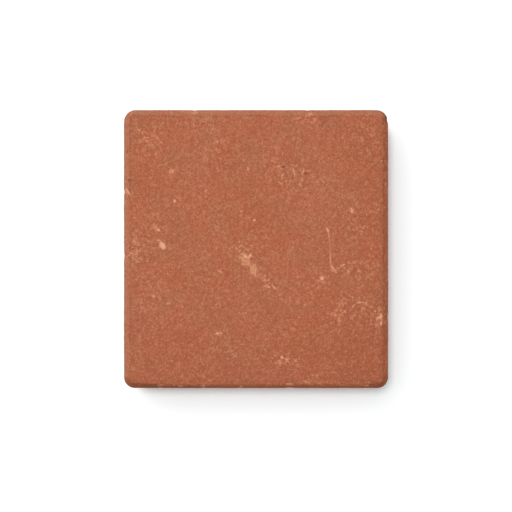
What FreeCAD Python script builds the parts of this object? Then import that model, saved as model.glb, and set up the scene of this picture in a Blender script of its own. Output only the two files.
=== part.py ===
"""Fired clay paver: one solid slab, lying on its bed face.

Units are millimetres. The origin is the centre of the bed face, +Z points up
to the wearing face, +Y runs along the longer side and +X along the shorter.

The plan is a rectangle with rounded upright corners. All round the wearing
face runs a shallow bevel, the arris, whose upper crease and lower shoulder are
worn round. The edge of the bed face is rounded a little.
"""

import FreeCAD
import Part
import math
import os

# Driving dimensions
WIDTH = 190.0  # along X
LENGTH = 200.0  # along Y
THICKNESS = 50.0  # along Z, bed face to wearing face
CORNER_RADIUS = 8.0  # upright corners, in plan
ARRIS_RUN = 4.2  # width of the bevel in plan
ARRIS_DROP = 3.2  # height of the bevel
CREASE_RADIUS = 2.0  # between the wearing face and the bevel
SHOULDER_RADIUS = 2.6  # between the bevel and the upright sides
BED_RADIUS = 2.0  # round the bed face

NODE = "clay_paver"
SHOULDER_HEIGHT = THICKNESS - ARRIS_DROP
HEIGHT_TOLERANCE = 0.01  # how near an edge lies to the height it is picked by


def outline(inset, height):
    """The plan at one height, taken in by inset: four sides and four quarter circles."""
    half_width, half_length = WIDTH / 2, LENGTH / 2
    radius = CORNER_RADIUS - inset
    arcs = []
    for side_x, side_y, start in [(1, -1, -90), (1, 1, 0), (-1, 1, 90), (-1, -1, 180)]:
        centre = FreeCAD.Vector(
            side_x * (half_width - CORNER_RADIUS), side_y * (half_length - CORNER_RADIUS), height
        )
        circle = Part.Circle(centre, FreeCAD.Vector(0, 0, 1), radius)
        arc = Part.ArcOfCircle(circle, math.radians(start), math.radians(start + 90))
        arcs.append(arc.toShape())
    edges = []
    for arc, following in zip(arcs, arcs[1:] + arcs[:1]):
        edges += [arc, Part.makeLine(arc.lastVertex().Point, following.firstVertex().Point)]
    return Part.Wire(edges)


def edges_at(solid, height):
    """The edges of a solid that lie level at this height."""
    return [
        edge
        for edge in solid.Edges
        if all(abs(vertex.Z - height) < HEIGHT_TOLERANCE for vertex in edge.Vertexes)
    ]


def paver():
    """Upright slab with a bevelled crown on it, then the three edge loops rounded."""
    slab = Part.Face(outline(0.0, 0.0)).extrude(FreeCAD.Vector(0, 0, SHOULDER_HEIGHT))
    crown = Part.makeLoft(
        [outline(0.0, SHOULDER_HEIGHT), outline(ARRIS_RUN, THICKNESS)], True, True
    )
    solid = slab.fuse(crown).removeSplitter()
    for height, radius in [
        (THICKNESS, CREASE_RADIUS),
        (SHOULDER_HEIGHT, SHOULDER_RADIUS),
        (0.0, BED_RADIUS),
    ]:
        solid = solid.makeFillet(radius, edges_at(solid, height))
    return Part.Solid(solid.Shells[0])


os.makedirs("parts", exist_ok=True)
shape = paver()
shape.exportStep("parts/" + NODE + ".step")
box = shape.optimalBoundingBox()
print(NODE, "valid", shape.isValid(), "closed", shape.isClosed(), "faces", len(shape.Faces))
print("size %.2f x %.2f x %.2f mm" % (box.XLength, box.YLength, box.ZLength))
print("volume %.1f cm3" % (shape.Volume / 1000.0))
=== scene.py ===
"""Fired clay paver lying on its bed face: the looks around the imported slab.

Metres throughout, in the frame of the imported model: the origin is the centre of
the bed face, +Z is up to the wearing face and +Y runs along the longer side.
"""

import bmesh
import bpy
import math
import numpy
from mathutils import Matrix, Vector


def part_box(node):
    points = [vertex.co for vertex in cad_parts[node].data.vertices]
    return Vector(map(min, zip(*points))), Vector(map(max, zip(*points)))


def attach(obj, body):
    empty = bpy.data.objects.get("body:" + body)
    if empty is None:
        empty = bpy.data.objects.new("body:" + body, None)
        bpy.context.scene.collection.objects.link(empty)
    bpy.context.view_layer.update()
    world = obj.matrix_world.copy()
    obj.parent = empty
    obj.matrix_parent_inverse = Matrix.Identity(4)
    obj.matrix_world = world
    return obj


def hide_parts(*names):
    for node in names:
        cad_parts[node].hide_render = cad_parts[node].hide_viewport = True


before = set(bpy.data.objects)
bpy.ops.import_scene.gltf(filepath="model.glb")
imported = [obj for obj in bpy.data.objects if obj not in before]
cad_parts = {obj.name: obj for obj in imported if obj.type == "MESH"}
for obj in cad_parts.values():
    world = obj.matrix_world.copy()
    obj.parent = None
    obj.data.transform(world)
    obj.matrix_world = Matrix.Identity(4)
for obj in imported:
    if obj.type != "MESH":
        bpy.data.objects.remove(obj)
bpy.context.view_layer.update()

MM = 0.001
low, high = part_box("clay_paver")
WIDTH = high.x - low.x
LENGTH = high.y - low.y
THICKNESS = high.z - low.z
HALF_WIDTH = WIDTH / 2
HALF_LENGTH = LENGTH / 2

# The edges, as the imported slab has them
CORNER_RADIUS = 8.0 * MM
ARRIS_RUN = 4.2 * MM
ARRIS_DROP = 3.2 * MM
CREASE_RADIUS = 2.0 * MM
SHOULDER_RADIUS = 2.6 * MM
BED_RADIUS = 2.0 * MM
SHOULDER_HEIGHT = THICKNESS - ARRIS_DROP
ARRIS_SLOPE = math.atan2(ARRIS_DROP, ARRIS_RUN)

# How finely the slab is divided
CORNER_CELLS = 14  # round each upright corner
WIDTH_CUTS = (13, 12)  # 14 x 13 cells along the straight of the short side
LENGTH_CUTS = (13, 13)  # 14 x 14 cells along the straight of the long side
CREASE_CELLS = 3
ARRIS_CUTS = 5
SHOULDER_CELLS = 5
SIDE_CUTS = 32
BED_CELLS = 4
BED_SHARE = 0.3  # of the bed face's cells that are kept

# The front arris was pressed harder: its crease lies further out, and fades in over this far
FRONT_SHIFT = 0.8 * MM
FRONT_BLEND = 12.0 * MM
FRONT_ENDS = (HALF_WIDTH - 4.0 * MM, HALF_WIDTH - 12.0 * MM)

# Studio
LENS = 85.0
CAMERA_HEIGHT = 0.914
CAMERA_SLIP = -5.0 * MM
FILL_SHARE = 0.26
FLOOR_SIZE = 12.0
FLOOR_SHADE = (0.6, 0.6, 0.6, 1)
FLOOR_SEEN = (1.12, 1.16, 1.17, 1)
WHITE = (1, 1, 1, 1)
# Name, share of the light on a level face, degrees up, degrees round from left to back, degrees across
KEYS = [
    ("high_key", 0.40, 79, 50, 12),
    ("broad_key", 0.34, 63, 49, 48),
]


def choose(paver, kind, wanted):
    """In edit mode, select the faces, edges or vertices that pass a test, and nothing else."""
    modes = {"verts": "VERT", "edges": "EDGE", "faces": "FACE"}
    bpy.ops.mesh.select_mode(type=modes[kind])
    bpy.ops.mesh.select_all(action="DESELECT")
    shape = bmesh.from_edit_mesh(paver.data)
    for part in getattr(shape, kind):
        if wanted(part):
            part.select_set(True)
    shape.select_flush_mode()
    bmesh.update_edit_mesh(paver.data)
    return shape


def level_with(height):
    """A test for edges that lie level at one height."""
    return lambda edge: all(abs(vertex.co.z - height) < 0.01 * MM for vertex in edge.verts)


def runs(edge, axis, least, most=1.0):
    """Whether an edge runs along one axis for a length between two limits."""
    along = abs(edge.verts[0].co[axis] - edge.verts[1].co[axis])
    length = edge.calc_length()
    return least < length < most and along > 0.999 * length


def fill_face(paver, height, first_side):
    """A level face as a grid whose own corners lie at the middle of the rounded ones.

    first_side is the cells on the side that the fill runs along first, from the back left corner.
    """
    shape = choose(
        paver, "verts", lambda vertex: vertex.is_boundary and abs(vertex.co.z - height) < 0.01 * MM
    )
    rim = [vertex for vertex in shape.verts if vertex.select]
    corner = max(rim, key=lambda vertex: vertex.co.y - vertex.co.x)
    shape.select_history.clear()
    shape.select_history.add(corner)
    bmesh.update_edit_mesh(paver.data)
    bpy.ops.mesh.fill_grid(span=first_side, offset=0)


def model_slab():
    """The slab as it left the mould: a block, its corners, arris and bed edge rounded, finely divided."""
    bpy.ops.object.select_all(action="DESELECT")
    bpy.ops.mesh.primitive_cube_add(
        size=1.0,
        location=(0, 0, low.z + SHOULDER_HEIGHT / 2),
        scale=(WIDTH, LENGTH, SHOULDER_HEIGHT),
    )
    paver = bpy.context.object
    paver.name = "worn_clay_paver"
    bpy.ops.object.transform_apply(location=True, rotation=True, scale=True)
    bpy.ops.object.mode_set(mode="EDIT")

    # Upright corners, then the wearing face drawn in and up to leave the arris
    choose(paver, "edges", lambda edge: runs(edge, 2, 10 * MM))
    bpy.ops.mesh.bevel(offset=CORNER_RADIUS, segments=CORNER_CELLS, affect="EDGES")
    choose(paver, "faces", lambda face: face.normal.z > 0.99)
    bpy.ops.mesh.inset(thickness=ARRIS_RUN, depth=ARRIS_DROP)

    # Crease, shoulder and bed edge, each rounded by the turn between its two faces
    rounds = [
        (THICKNESS, CREASE_RADIUS, ARRIS_SLOPE, CREASE_CELLS),
        (SHOULDER_HEIGHT, SHOULDER_RADIUS, math.pi / 2 - ARRIS_SLOPE, SHOULDER_CELLS),
        (0.0, BED_RADIUS, math.pi / 2, BED_CELLS),
    ]
    for height, radius, turn, cells in rounds:
        choose(paver, "edges", level_with(low.z + height))
        setback = radius * math.tan(turn / 2)
        bpy.ops.mesh.bevel(offset=setback, segments=cells, affect="EDGES")

    # The wearing face and the bed are opened, and filled again once their rims are divided
    choose(paver, "faces", lambda face: len(face.verts) > 4)
    bpy.ops.mesh.delete(type="ONLY_FACE")

    # Straights of the short and long sides, the arris slope and the upright sides
    for axis, cuts in [(0, WIDTH_CUTS), (1, LENGTH_CUTS)]:
        longest = (WIDTH, LENGTH)[axis]
        for least, count in [(0.5 * longest, cuts[0]), (5 * MM, cuts[1])]:
            choose(paver, "edges", lambda edge: runs(edge, axis, least))
            bpy.ops.mesh.subdivide(number_cuts=count)
    choose(paver, "edges", lambda edge: abs(edge.verts[0].co.z - edge.verts[1].co.z) > 1.5 * MM
           and edge.calc_length() < 10 * MM)
    bpy.ops.mesh.subdivide(number_cuts=ARRIS_CUTS)
    choose(paver, "edges", lambda edge: runs(edge, 2, 10 * MM))
    bpy.ops.mesh.subdivide(number_cuts=SIDE_CUTS)

    fill_face(paver, high.z, (LENGTH_CUTS[0] + 1) * (LENGTH_CUTS[1] + 1) + CORNER_CELLS)
    fill_face(paver, low.z, (WIDTH_CUTS[0] + 1) * (WIDTH_CUTS[1] + 1) + CORNER_CELLS)
    choose(paver, "faces", lambda face: face.calc_center_median().z < low.z + 0.01 * MM)
    bpy.ops.mesh.decimate(ratio=BED_SHARE)
    bpy.ops.mesh.select_all(action="SELECT")
    bpy.ops.mesh.normals_make_consistent(inside=False)
    bpy.ops.object.mode_set(mode="OBJECT")
    return paver


# ---- wear ----

# Where wear is none and where it is full. Inside the outline:
SHOULDER_WEAR = (0.6 * MM, 3.0 * MM)
FACE_WEAR = (8.0 * MM, 3.0 * MM)
# Up the sides:
SIDE_WEAR = (high.z - 11.0 * MM, high.z - 5.0 * MM)
CHIP_WEAR = (high.z - 14.0 * MM, high.z - 4.0 * MM)
BED_WEAR = (low.z, low.z + 4.0 * MM)
# The least of it that is left there
SHOULDER_LEAST = 0.15
BED_LEAST = 0.25

# Chips on the arris, and the rounder back corners: place across and along, reach and depth, in
# millimetres
CHIPS = [
    (95, 92.5, 3.2, 0.7),
    (-93, 97, 9.0, 0.3),
    (93, 97, 9.0, 0.3),
    (-68, -98, 3.5, 0.45),
    (-38, -99, 2.5, 0.35),
    (-12, -99, 2.5, 0.25),
    (24, -98, 4.5, 0.5),
    (61, -98, 2.5, 0.3),
    (78, -99, 2.0, 0.3),
    (-93, -5, 4.0, 0.5),
    (-94, 41, 2.5, 0.5),
    (37, 98, 3.5, 0.5),
    (-44, 99, 2.5, 0.5),
    (94, -49, 2.5, 0.5),
]


def fade(value, none, full):
    """0 at one value and beyond it, 1 at the other, and smooth between."""
    share = min(max((value - none) / (full - none), 0.0), 1.0)
    return share * share * (3 - 2 * share)


def inset_of(place):
    """How far inside the slab's outline a place lies, in plan."""
    out_x = abs(place.x) - HALF_WIDTH + CORNER_RADIUS
    out_y = abs(place.y) - HALF_LENGTH + CORNER_RADIUS
    if out_x > 0 and out_y > 0:
        return CORNER_RADIUS - math.hypot(out_x, out_y)
    return CORNER_RADIUS - max(out_x, out_y)


def crease_share(place):
    """1 at the crease and on the bevel, little at the shoulder, and fading onto the wearing face."""
    on_face = fade(inset_of(place), *FACE_WEAR)
    off_shoulder = SHOULDER_LEAST + (1 - SHOULDER_LEAST) * fade(inset_of(place), *SHOULDER_WEAR)
    return on_face * off_shoulder * fade(place.z, *SIDE_WEAR)


def chip_share(place):
    """How deep the chips are at a place on the arris, as a share of a millimetre."""
    deepest = 0.0
    for across, along, reach, depth in CHIPS:
        away = math.hypot(place.x - across * MM, place.y - along * MM) / (reach * MM)
        if away < 1:
            deepest = max(deepest, depth * fade(away, 1, 0))
    return deepest * fade(place.z, *CHIP_WEAR)


def all_but_bed(place):
    """1 on the wearing face and sides, and little on the bed, which lies flat."""
    return BED_LEAST + (1 - BED_LEAST) * fade(place.z, *BED_WEAR)


def wear_away(paver, name, share, depth, size=None, **pattern_settings):
    """Take clay away where share gives more than 0, up to a depth.

    Without a size it goes evenly, and with one in a cloudy pattern of that size.
    """
    group = paver.vertex_groups.new(name=name)
    for vertex in paver.data.vertices:
        amount = share(vertex.co)
        if amount > 0.001:
            group.add([vertex.index], amount, "REPLACE")
    loss = paver.modifiers.new(name, "DISPLACE")
    loss.vertex_group = name
    if size is None:
        loss.strength = -depth
        loss.mid_level = 0.0
    else:
        pattern = bpy.data.textures.new(name, "CLOUDS")
        pattern.noise_scale = size
        for setting, value in pattern_settings.items():
            setattr(pattern, setting, value)
        loss.texture = pattern
        loss.texture_coords = "LOCAL"
        loss.strength = depth
        loss.mid_level = 1.0
    bpy.context.view_layer.objects.active = paver
    bpy.ops.object.modifier_apply(modifier=name)


def steepen_front_arris(paver):
    """The front arris is narrower and steeper: its crease is drawn out towards the front side."""
    for vertex in paver.data.vertices:
        inside = vertex.co.y + HALF_LENGTH
        if inside < FRONT_BLEND and vertex.co.z > SHOULDER_HEIGHT:
            off_corners = fade(abs(vertex.co.x), *FRONT_ENDS)
            lift = fade(vertex.co.z, SHOULDER_HEIGHT, THICKNESS)
            near = fade(inside, FRONT_BLEND, ARRIS_RUN)
            vertex.co.y -= FRONT_SHIFT * off_corners * lift * near


def wear_slab(paver):
    """Firing, handling and use: slightly uneven all over, a worn and chipped arris, open grain."""
    steepen_front_arris(paver)
    wear_away(paver, "uneven", all_but_bed, depth=0.14 * MM, size=55 * MM, noise_depth=1)
    wear_away(paver, "chips", chip_share, depth=1.0 * MM)
    wear_away(paver, "worn_arris", crease_share, depth=0.8 * MM, size=9 * MM, noise_depth=2,
              contrast=1.6)
    wear_away(paver, "nibbled_arris", crease_share, depth=0.5 * MM, size=3.2 * MM, noise_depth=1,
              contrast=2.6, intensity=1.35)
    wear_away(paver, "open_grain", all_but_bed, depth=0.08 * MM, size=2.6 * MM, noise_depth=2,
              contrast=1.5)
    for polygon in paver.data.polygons:
        polygon.use_smooth = True


# ---- marks and finish ----

# A mark is full inside this share of its half size, gone past that one, and fades down the sides
MARK_CORE = 0.7
MARK_EDGE = 1.7
MARK_REACH_DOWN = 12.0
RAGGED = 3.0  # how strongly the grain breaks up a scuff
GRIT_SHARE = 0.42  # of the grain: the rest is the finer sand
STRAND_STRENGTH = 1.6
WOBBLE = 3.0  # millimetres from end to end, by which edge wear wanders
GRAIN_HEIGHT = 0.25 * MM

# Pale scuffs where the fired skin is rubbed through: place across and along the wearing face,
# length and width in millimetres, turn in degrees, and strength
SCUFFS = [
    (-8.0, -7.4, 8.0, 5.4, -58, 1.0),
    (-3.6, -11.0, 6.0, 2.6, -55, 0.75),
    (-2.0, -14.6, 7.6, 4.4, -70, 1.0),
    (-0.4, -18.6, 3.6, 3.0, -40, 0.7),
    (-12.2, 1.4, 7.0, 1.5, 27, 0.6),
    (-11.8, -1.4, 2.4, 1.8, -60, 0.6),
    (-7.6, 0.4, 1.8, 1.5, 0, 0.65),
    (-10.6, -11.8, 3.6, 2.0, 40, 0.45),
    (3.2, -20.4, 4.6, 2.0, -42, 0.55),
    (6.2, -21.8, 2.0, 1.6, 0, 0.6),
    (8.0, -26.5, 2.2, 1.9, 0, 0.85),
    (12.6, -26.6, 4.6, 2.2, -50, 0.7),
    (18.0, -16.9, 2.2, 1.8, 0, 0.5),
    (2.8, -14.4, 1.8, 2.2, 0, 0.5),
    (-1.2, 20.7, 2.0, 2.6, -20, 0.8),
    (-5.1, 23.5, 2.4, 1.5, 10, 0.5),
    (-10.6, 26.0, 1.7, 3.0, 15, 0.7),
    (-66.9, 2.4, 4.4, 3.4, -60, 1.0),
    (-69.2, 5.6, 4.2, 2.2, -20, 0.75),
    (-70.3, 14.0, 4.0, 2.6, -12, 0.75),
    (-35.6, 38.0, 1.6, 1.8, 0, 0.55),
    (-60.5, 55.4, 5.0, 3.0, 20, 0.8),
    (-53.5, 56.4, 6.0, 1.6, 5, 0.5),
    (-48.5, 54.0, 3.4, 2.0, -30, 0.5),
    (-79.0, 80.0, 3.0, 2.0, 0, 0.5),
    (-74.0, 75.0, 3.4, 2.4, -20, 0.5),
    (-38.0, 91.4, 7.0, 2.4, 10, 0.45),
    (-27.8, 76.8, 3.2, 2.4, 30, 0.5),
    (-5.4, 57.2, 2.2, 2.8, 10, 0.75),
    (49.0, 61.6, 1.6, 2.4, 0, 0.5),
    (68.4, 28.4, 1.8, 4.0, 12, 0.5),
    (55.6, -15.4, 4.2, 1.7, -42, 1.0),
    (61.4, -12.2, 3.4, 1.5, 48, 0.85),
    (66.0, -16.0, 2.4, 2.0, 0, 0.65),
    (70.6, -12.4, 2.0, 1.6, 0, 0.55),
    (47.2, -21.0, 4.6, 4.2, 0, 0.6),
    (45.0, -26.8, 3.6, 1.5, 15, 0.5),
    (-27.0, -60.4, 5.0, 2.4, -5, 0.5),
    (-55.0, -24.2, 1.9, 1.6, 0, 0.55),
    (-68.6, -11.6, 1.7, 1.5, 0, 0.6),
    (-89.4, -3.0, 5.0, 3.6, 30, 0.7),
    (-86.0, 5.4, 4.0, 2.0, 70, 0.5),
    (20.4, -78.8, 6.0, 2.6, -35, 0.5),
    (88.4, -48.8, 4.6, 3.0, 40, 0.95),
    (89.4, -53.0, 1.8, 3.0, 0, 0.7),
    (85.6, -45.4, 2.6, 2.0, 0, 0.6),
    (62.6, -44.8, 3.4, 1.6, 70, 0.6),
    (59.4, -50.0, 3.6, 1.8, -60, 0.6),
    (37.0, 96.0, 7.0, 2.4, 12, 0.8),
    (30.0, 93.6, 3.4, 1.5, 30, 0.5),
    (-44.0, 97.8, 4.0, 2.0, 0, 0.8),
    (-93.0, 41.0, 1.6, 3.4, 20, 0.9),
    (-69.0, -97.4, 4.4, 1.8, 0, 1.0),
    (-38.0, -97.8, 3.4, 1.6, 0, 1.0),
    (23.6, -96.8, 5.0, 1.8, 0, 1.0),
    (37.0, -95.0, 5.0, 2.4, 0, 0.6),
    (-54.0, -98.2, 3.0, 1.5, 0, 0.7),
    (-12.0, -98.4, 4.0, 1.5, 0, 0.6),
    (61.0, -97.6, 3.4, 1.6, 0, 0.8),
    (79.0, -97.8, 3.0, 1.5, 0, 0.7),
]
# Patches where the skin is crazed with short pale strands: the same
CRAZED = [
    (-11.0, -1.0, 16.0, 14.0, 0, 0.45),
    (10.0, -25.0, 16.0, 8.0, -35, 0.7),
    (69.0, -14.0, 20.0, 9.0, 0, 0.45),
    (66.0, -44.0, 28.0, 17.0, 28, 0.5),
    (87.0, -48.0, 14.0, 18.0, 0, 0.45),
    (58.0, -56.0, 14.0, 8.0, 30, 0.3),
    (22.0, -79.5, 18.0, 10.0, -20, 0.6),
    (23.0, 55.0, 34.0, 20.0, -15, 0.45),
    (50.0, 45.0, 20.0, 16.0, 0, 0.25),
    (34.0, 93.0, 20.0, 7.0, 0, 0.35),
    (70.0, 20.0, 24.0, 30.0, 0, 0.25),
    (-77.0, 78.0, 20.0, 22.0, 0, 0.4),
    (-36.0, 89.0, 22.0, 12.0, 0, 0.3),
    (-84.0, 0.0, 20.0, 22.0, 0, 0.45),
    (-70.0, 14.0, 16.0, 12.0, 0, 0.3),
    (-30.0, 68.0, 26.0, 18.0, 20, 0.25),
    (36.0, -30.0, 30.0, 14.0, 20, 0.25),
    (-76.0, -30.0, 20.0, 40.0, 0, 0.25),
    (-40.0, 30.0, 26.0, 14.0, -30, 0.25),
    (80.0, 80.0, 24.0, 24.0, 0, 0.25),
]
# Fine scratches and single strands: the same
SCRATCHES = [
    (51.3, 13.6, 3.2, 1.3, -62, 0.8),
    (52.1, 9.0, 6.0, 0.7, -80, 0.5),
    (52.8, 1.0, 10.0, 0.6, -86, 0.3),
    (53.2, -6.6, 8.0, 0.7, -88, 0.6),
    (54.0, -12.4, 3.2, 0.9, -72, 0.6),
    (-91.8, 41.2, 4.4, 1.3, -60, 0.8),
    (47.2, -21.0, 2.0, 1.9, 0, 1.0),
    (-66.7, 2.6, 4.0, 2.8, -60, 1.0),
    (-27.7, -60.4, 1.9, 1.5, 0, 0.75),
    (-25.2, -60.3, 1.5, 1.3, 0, 0.55),
    (-69.6, 13.6, 2.0, 1.4, -12, 0.8),
    (68.4, 27.2, 1.1, 3.0, 10, 0.8),
    (9.4, -27.0, 1.5, 1.2, 0, 0.5),
    (12.8, -26.8, 2.0, 1.1, -50, 0.5),
    (88.8, -48.6, 2.4, 1.4, 50, 0.9),
    (89.6, -53.0, 1.2, 2.2, 0, 0.7),
    (55.4, -13.8, 2.0, 1.0, -42, 0.7),
    (62.6, -11.4, 2.0, 1.1, 48, 0.7),
    (18.6, -77.4, 2.0, 1.1, -30, 0.8),
    (-1.0, 20.6, 1.4, 1.2, -20, 0.7),
    (-4.4, -5.0, 3.6, 1.3, 60, 0.9),
    (-7.8, -5.0, 4.4, 1.3, -28, 0.9),
    (-58.2, 34.3, 1.3, 2.0, 10, 1.0),
    (-35.6, 41.5, 1.4, 1.8, 0, 0.45),
    (27.0, 55.0, 5.0, 1.0, -75, 0.55),
    (19.0, 52.6, 3.0, 1.2, 60, 0.45),
    (33.6, 55.2, 3.6, 1.3, 65, 0.5),
    (48.0, 48.6, 3.0, 1.2, -45, 0.3),
    (-25.4, -16.2, 3.4, 1.4, -30, 0.5),
    (-73.0, -33.8, 1.7, 1.3, 0, 0.6),
    (-62.4, -39.0, 3.0, 1.3, 0, 0.45),
    (-86.4, -4.0, 3.4, 1.2, 30, 0.35),
    (-82.4, -0.6, 3.6, 1.1, 50, 0.3),
    (-80.0, 2.4, 2.4, 1.0, 75, 0.35),
    (22.6, -80.0, 3.0, 1.0, -50, 0.35),
    (15.4, -80.6, 3.0, 1.0, 50, 0.3),
    (69.4, -41.0, 4.0, 0.9, 48, 0.4),
    (74.4, -38.2, 4.6, 0.9, 12, 0.55),
    (78.8, -38.8, 2.4, 0.9, -50, 0.45),
]
# Dark pits, and long dark marks on the front arris and its front corners that are painted shade: the same
DARK_PITS_AND_SHADE = [
    (19.8, 58.8, 2.4, 1.5, 0, 1.0),
    (26.0, 50.6, 1.6, 1.4, 0, 0.7),
    (35.6, 54.0, 2.0, 1.6, 0, 0.7),
    (-92.3, 69.6, 1.3, 1.3, 0, 0.7),
    (-90.2, 49.3, 3.2, 1.2, -5, 0.6),
    (-91.8, -94.2, 5.0, 3.6, -50, 0.5),
    (-81.0, -97.5, 22.0, 3.0, -3, 0.7),
    (87.0, -97.0, 10.0, 3.2, 6, 0.65),
    (92.4, -92.6, 4.4, 3.0, 60, 0.4),
    (93.6, 92.8, 2.4, 4.6, 8, 0.9),
    (92.0, 97.0, 6.0, 1.6, -45, 0.55),
    (-52.0, -98.8, 30.0, 1.6, 0, 0.4),
    (-9.6, -4.8, 1.8, 1.2, 0, 0.5),
    (13.0, -26.0, 1.4, 1.4, 0, 0.7),
    (71.0, -14.0, 2.4, 1.6, -30, 0.5),
]


def linear(code):
    """An sRGB hex colour as the linear values that the shader takes."""
    values = [int(code[i:i + 2], 16) / 255 for i in (0, 2, 4)]
    return [v / 12.92 if v <= 0.04045 else ((v + 0.055) / 1.055) ** 2.4 for v in values] + [1.0]


def add(tree, kind, inputs, result=0, **settings):
    """Add a node with its settings, and its inputs set or linked; gives one of its outputs.

    A Mix node's inputs 2 and 3 are its two values, and 6 and 7 its two colours.
    """
    node = tree.nodes.new("ShaderNode" + kind)
    for name, value in settings.items():
        setattr(node, name, value)
    for socket, value in inputs.items():
        if isinstance(value, bpy.types.NodeSocket):
            tree.links.new(value, node.inputs[socket])
        else:
            node.inputs[socket].default_value = value
    return node.outputs[result] if node.outputs else None


def paint(paver, name, places):
    """An attribute of the slab: each mark's strength at its middle, falling to 0 past its edge."""
    count = len(paver.data.vertices)
    spots = numpy.empty(count * 3)
    paver.data.vertices.foreach_get("co", spots)
    x, y, z = spots.reshape(count, 3).T / MM
    below = (z - high.z / MM) / MARK_REACH_DOWN
    amount = numpy.zeros(count)
    for across, along, length, width, turn, strength in places:
        cosine = math.cos(math.radians(turn))
        sine = math.sin(math.radians(turn))
        lengthways = ((x - across) * cosine + (y - along) * sine) / (length / 2)
        sideways = ((y - along) * cosine - (x - across) * sine) / (width / 2)
        away = numpy.sqrt(lengthways ** 2 + sideways ** 2 + below ** 2)
        rise = numpy.clip((MARK_EDGE - away) / (MARK_EDGE - MARK_CORE), 0, 1)
        amount = numpy.maximum(amount, strength * rise * rise * (3 - 2 * rise))
    layer = paver.data.attributes.new(name, "FLOAT", "POINT")
    layer.data.foreach_set("value", amount)


def measure_inset(paver):
    """An attribute of the slab: how many millimetres inside its outline each vertex lies."""
    layer = paver.data.attributes.new("inset", "FLOAT", "POINT")
    layer.data.foreach_set("value", [inset_of(vertex.co) / MM for vertex in paver.data.vertices])


def marks(tree, coordinates, places):
    """The same as paint, but drawn by the material."""
    everything = None
    for across, along, length, width, turn, strength in places:
        local = add(tree, "Mapping", {
            "Vector": coordinates,
            "Location": (across * MM, along * MM, high.z),
            "Rotation": (0, 0, math.radians(turn)),
            "Scale": (length / 2 * MM, width / 2 * MM, MARK_REACH_DOWN * MM),
        }, vector_type="TEXTURE")
        away = add(tree, "VectorMath", {0: local}, "Value", operation="LENGTH")
        near = add(tree, "MapRange", {
            "Value": away, "From Min": MARK_EDGE, "From Max": MARK_CORE, "To Max": strength,
        }, interpolation_type="SMOOTHSTEP")
        if everything is None:
            everything = near
        else:
            everything = add(tree, "Math", {0: everything, 1: near}, operation="MAXIMUM")
    return everything


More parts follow.
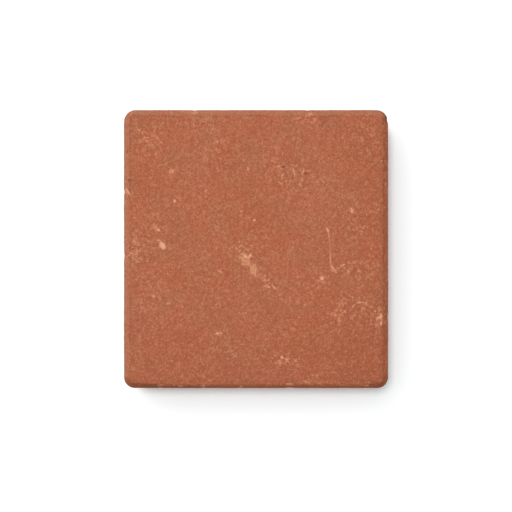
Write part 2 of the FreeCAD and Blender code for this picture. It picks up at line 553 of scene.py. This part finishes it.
def fired_clay():
    """Red terracotta, pressed, fired unglazed and tumbled: a dry, sandy, matt surface.

    Broad warm and dull patches come from the firing and the grain from sand temper. Scuffs,
    strands and the worn arris show pale where the fired skin has gone to powder. On the back and left
    arris the pale powder is also a painted highlight, and the front and right arris, the crease line
    and the front and right halves are darkened as painted shade.
    """
    material = bpy.data.materials.new("fired_clay")
    material.use_nodes = True
    tree = material.node_tree
    tree.nodes.clear()
    place = add(tree, "TexCoord", {}, "Object")

    # Cloudy patterns: size in millimetres, detail, distortion and which cloud of that size it is.
    # The sand grain is 0.3 mm really, too fine to show, so it is drawn 0.8 and 2.2 mm across
    cloud = {}
    for name, size, detail, distortion, which in [
        ("firing", 60, 1, 0, 3.1),
        ("mottle", 18, 2, 0, 7.7),
        ("warm_mottle", 11, 2, 0, 1.3),
        ("sand", 0.8, 1, 0, 2.0),
        ("grit", 2.2, 2, 0, 5.0),
        ("high_grain", 1.3, 1, 0, 4.0),
        ("strand", 3.0, 1, 0.8, 8.0),
        ("clusters", 20, 2, 0, 9.0),
        ("powder_and_highlight", 6, 2, 0, 6.0),
    ]:
        cloud[name] = add(tree, "TexNoise", {
            "Vector": place, "W": which, "Scale": 1 / (size * MM), "Detail": detail,
            "Roughness": 0.6, "Distortion": distortion,
        }, noise_dimensions="4D")
    grain = add(tree, "Mix", {"Factor": GRIT_SHARE, 2: cloud["sand"], 3: cloud["grit"]})

    # Scuffs are rubbed through on the high grains only
    scuffs = add(tree, "Attribute", {}, "Fac", attribute_name="scuffs")
    ragged = add(tree, "Math", {0: cloud["high_grain"], 1: RAGGED, 2: -RAGGED / 2},
                 operation="MULTIPLY_ADD")
    scuffed = add(tree, "Math", {0: scuffs, 1: ragged}, operation="ADD")
    scuffed = add(tree, "MapRange", {"Value": scuffed, "From Min": 0.25, "From Max": 0.95},
                  interpolation_type="SMOOTHSTEP")

    # Strands are the thin level lines of a cloudy pattern, broken into lengths by the grain
    crazed = add(tree, "Attribute", {}, "Fac", attribute_name="crazed")
    clusters = add(tree, "MapRange", {"Value": cloud["clusters"], "From Min": 0.46, "From Max": 0.66,
                                      "To Max": 0.22}, interpolation_type="SMOOTHSTEP")
    crazed = add(tree, "Math", {0: crazed, 1: clusters}, operation="MAXIMUM")
    line = add(tree, "Math", {0: cloud["strand"], 1: 0.5}, operation="SUBTRACT")
    line = add(tree, "Math", {0: line}, operation="ABSOLUTE")
    line = add(tree, "MapRange", {"Value": line, "From Min": 0.06, "From Max": 0.015})
    broken = add(tree, "MapRange", {"Value": cloud["grit"], "From Min": 0.49, "From Max": 0.58},
                 interpolation_type="SMOOTHSTEP")
    strands = add(tree, "Math", {0: line, 1: broken}, operation="MULTIPLY")
    strands = add(tree, "Math", {0: strands, 1: crazed}, operation="MULTIPLY")
    strands = add(tree, "Math", {0: strands, 1: STRAND_STRENGTH}, operation="MULTIPLY")
    dusty = add(tree, "MapRange", {"Value": cloud["sand"], "From Min": 0.35, "From Max": 0.6, "To Min": 0.5})
    scuffed = add(tree, "Math", {0: scuffed, 1: dusty}, operation="MULTIPLY")
    pale = add(tree, "Math", {0: scuffed, 1: strands}, operation="MAXIMUM")

    # Scratches, pits and the painted shade on the front arris wander a little, and are too fine for the
    # slab's own attribute
    drift = add(tree, "TexNoise", {"Vector": place, "Scale": 1 / (3 * MM), "Detail": 1.0}, "Color")
    drift = add(tree, "VectorMath", {0: drift, 1: (0.5, 0.5, 0.5)}, operation="SUBTRACT")
    nearby = add(tree, "VectorMath", {0: drift, 1: (MM, MM, MM), 2: place}, operation="MULTIPLY_ADD")
    scratched = marks(tree, nearby, SCRATCHES)
    pitted_and_shaded = marks(tree, nearby, DARK_PITS_AND_SHADE)

    # Wear, painted highlight and painted shade follow the edges unevenly. Each share: what it is
    # measured along, where it is none and where it is full, and how much that is
    wobble = add(tree, "Math", {0: cloud["powder_and_highlight"], 1: WOBBLE, 2: -WOBBLE / 2},
                 operation="MULTIPLY_ADD")
    shift = add(tree, "VectorMath", {0: (MM, MM, MM), "Scale": wobble}, operation="SCALE")
    uneven = add(tree, "VectorMath", {0: place, 1: shift}, operation="ADD")
    across = add(tree, "SeparateXYZ", {0: uneven}, "X")
    along = add(tree, "SeparateXYZ", {0: uneven}, "Y")
    up = add(tree, "SeparateXYZ", {0: uneven}, "Z")
    inset = add(tree, "Attribute", {}, "Fac", attribute_name="inset")
    inset = add(tree, "Math", {0: inset, 1: wobble}, operation="ADD")
    edge = {}
    for name, distance, clean, worn, share in [
        ("arris", inset, 4.8, 3.8, 1.0),
        ("crease_out", inset, 3.9, 4.7, 1.0),
        ("crease_in", inset, 6.2, 5.2, 1.0),
        ("not_right", across, 0.98 * HALF_WIDTH, 0.9 * HALF_WIDTH, 1.0),
        ("not_front", along, -0.98 * HALF_LENGTH, -0.9 * HALF_LENGTH, 1.0),
        ("high", up, high.z - 12 * MM, high.z - 3 * MM, 1.0),
        ("front", along, -HALF_LENGTH + 3.8 * MM, -HALF_LENGTH + 1.2 * MM, 0.8),
        ("right", across, HALF_WIDTH - 5.2 * MM, HALF_WIDTH - 3.4 * MM, 0.3),
        ("front_half", along, -0.1 * HALF_LENGTH, -HALF_LENGTH, 0.34),
        ("right_half", across, 0.3 * HALF_WIDTH, HALF_WIDTH, 0.24),
    ]:
        edge[name] = add(tree, "MapRange", {"Value": distance, "From Min": clean, "From Max": worn,
                                            "To Max": share}, interpolation_type="SMOOTHSTEP")
    # The back and left arris face the keys: the pale powder there is also a painted highlight
    lit_back_and_left = add(tree, "Math", {0: edge["not_right"], 1: edge["not_front"]}, operation="MULTIPLY")
    lit_back_and_left = add(tree, "Math", {0: lit_back_and_left, 1: edge["high"]}, operation="MULTIPLY")
    powder_and_highlight = add(tree, "Math", {0: lit_back_and_left, 1: edge["arris"]}, operation="MULTIPLY")
    # Painted shade: a dark line along the crease of the back and left arris
    crease_shade = add(tree, "Math", {0: edge["crease_out"], 1: edge["crease_in"]}, operation="MULTIPLY")
    crease_shade = add(tree, "Math", {0: crease_shade, 1: lit_back_and_left}, operation="MULTIPLY")
    patchy = add(tree, "MapRange", {"Value": cloud["mottle"], "From Min": 0.4, "From Max": 0.6})
    crease_shade = add(tree, "Math", {0: crease_shade, 1: patchy}, operation="MULTIPLY")
    # Painted shade: the front and right arris, turned away from the keys, are darkened
    front_right_shade = add(tree, "Math", {0: edge["front"], 1: edge["right"]}, operation="MAXIMUM")
    front_right_shade = add(tree, "Math", {0: front_right_shade, 1: edge["high"]}, operation="MULTIPLY")

    # Painted shade: the front and right halves are darkened a little, where the light falls off away from
    # the keys at the back left
    falloff_shade = add(tree, "Math", {0: edge["front_half"], 1: edge["right_half"]}, operation="ADD")
    falloff_shade = add(tree, "Math", {0: falloff_shade, 1: edge["high"]}, operation="MULTIPLY")

    # Each coat over the last: its cover, where that starts and ends, its share and its colour
    colour = None
    for cover, start, end, share, paint_code in [
        (cloud["firing"], 0.3, 0.7, 1.0, "B46B4E"),
        (cloud["mottle"], 0.42, 0.62, 0.65, "AA684A"),
        (cloud["warm_mottle"], 0.45, 0.65, 0.5, "B25F43"),
        # painted shade: the darker front and right halves
        (falloff_shade, 0.0, 1.0, 1.0, "9A5236"),
        (grain, 0.52, 0.30, 0.72, "924A2D"),
        (grain, 0.50, 0.72, 0.75, "CC8564"),
        # pale powder and painted highlight on the back and left arris
        (powder_and_highlight, 0.0, 1.0, 0.25, "B8886B"),
        # painted shade along the crease
        (crease_shade, 0.0, 1.0, 0.3, "8A4A32"),
        # painted shade on the front and right arris
        (front_right_shade, 0.0, 1.0, 1.0, "924E2E"),
        (pale, 0.0, 1.0, 0.84, "E09C77"),
        (scratched, 0.0, 1.0, 0.85, "E6AC88"),
        # dark pits, and painted shade on the front arris
        (pitted_and_shaded, 0.0, 1.0, 0.8, "74422C"),
    ]:
        share_here = add(tree, "MapRange", {"Value": cover, "From Min": start, "From Max": end,
                                            "To Max": share})
        colour = add(tree, "Mix", {"Factor": share_here, 6: colour or linear("AE6240"),
                                   7: linear(paint_code)}, 2, data_type="RGBA")

    # Bump is the sand grain alone, because chips and the open grain are in the mesh
    bump = add(tree, "Bump", {"Height": grain, "Distance": GRAIN_HEIGHT})
    roughness = add(tree, "MapRange", {"Value": grain, "From Min": 0.3, "From Max": 0.7,
                                       "To Min": 0.97, "To Max": 0.88})
    shader = add(tree, "BsdfPrincipled", {
        "Base Color": colour, "Roughness": roughness, "IOR": 1.5, "Specular IOR Level": 0.25,
        "Normal": bump,
    })
    add(tree, "OutputMaterial", {"Surface": shader})
    return material


# ---- studio ----

def seen_straight(tree):
    """1 for what the camera sees straight, in a gloss or through glass, and 0 for light on the object."""
    seen = add(tree, "LightPath", {}, "Is Camera Ray")
    for kind in ("Is Glossy Ray", "Is Transmission Ray"):
        ray = add(tree, "LightPath", {}, kind)
        seen = add(tree, "Math", {0: seen, 1: ray}, operation="MAXIMUM")
    return seen


def lay_floor():
    """A plain pale floor. Seen by the camera it is white and keeps the shadow."""
    bpy.ops.object.select_all(action="DESELECT")
    bpy.ops.mesh.primitive_plane_add(size=FLOOR_SIZE, location=(0, 0, low.z))
    floor = bpy.context.object
    floor.name = "studio_floor"
    material = bpy.data.materials.new("pale_floor")
    material.use_nodes = True
    tree = material.node_tree
    tree.nodes.clear()
    paper = add(tree, "BsdfDiffuse", {"Color": FLOOR_SHADE})
    white = add(tree, "BsdfDiffuse", {"Color": FLOOR_SEEN})
    either = add(tree, "MixShader", {0: seen_straight(tree), 1: paper, 2: white})
    add(tree, "OutputMaterial", {"Surface": either})
    floor.data.materials.append(material)


def light_studio():
    """A small high key and a broad lower one, both from the back left, and even light from all round."""
    world = bpy.data.worlds.new("studio")
    bpy.context.scene.world = world
    world.use_nodes = True
    tree = world.node_tree
    tree.nodes.clear()
    fill = add(tree, "Background", {"Color": WHITE, "Strength": FILL_SHARE})
    white = add(tree, "Background", {"Color": WHITE, "Strength": 1.0})
    either = add(tree, "MixShader", {0: seen_straight(tree), 1: fill, 2: white})
    add(tree, "OutputWorld", {"Surface": either})

    for name, share, height, turn, breadth in KEYS:
        up = math.radians(height)
        round_from_left = math.radians(turn)
        towards = Vector((
            -math.cos(up) * math.cos(round_from_left),
            math.cos(up) * math.sin(round_from_left),
            math.sin(up),
        ))
        bpy.ops.object.light_add(type="SUN", location=(0, 0, 1))
        key = bpy.context.object
        key.name = name
        key.data.energy = share * math.pi / math.sin(up)
        key.data.angle = math.radians(breadth)
        key.rotation_euler = towards.to_track_quat("Z", "Y").to_euler()


def place_camera():
    """Straight down on the wearing face, the long side upright in the picture."""
    bpy.ops.object.camera_add(location=(0, CAMERA_SLIP, low.z + CAMERA_HEIGHT), rotation=(0, 0, 0))
    camera = bpy.context.object
    camera.name = "camera"
    camera.data.lens = LENS
    bpy.context.scene.camera = camera
    bpy.context.scene.view_settings.view_transform = "Standard"


paver = model_slab()
wear_slab(paver)
paint(paver, "scuffs", SCUFFS)
paint(paver, "crazed", CRAZED)
measure_inset(paver)
paver.data.materials.append(fired_clay())
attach(paver, "root")
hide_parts("clay_paver")

lay_floor()
light_studio()
place_camera()
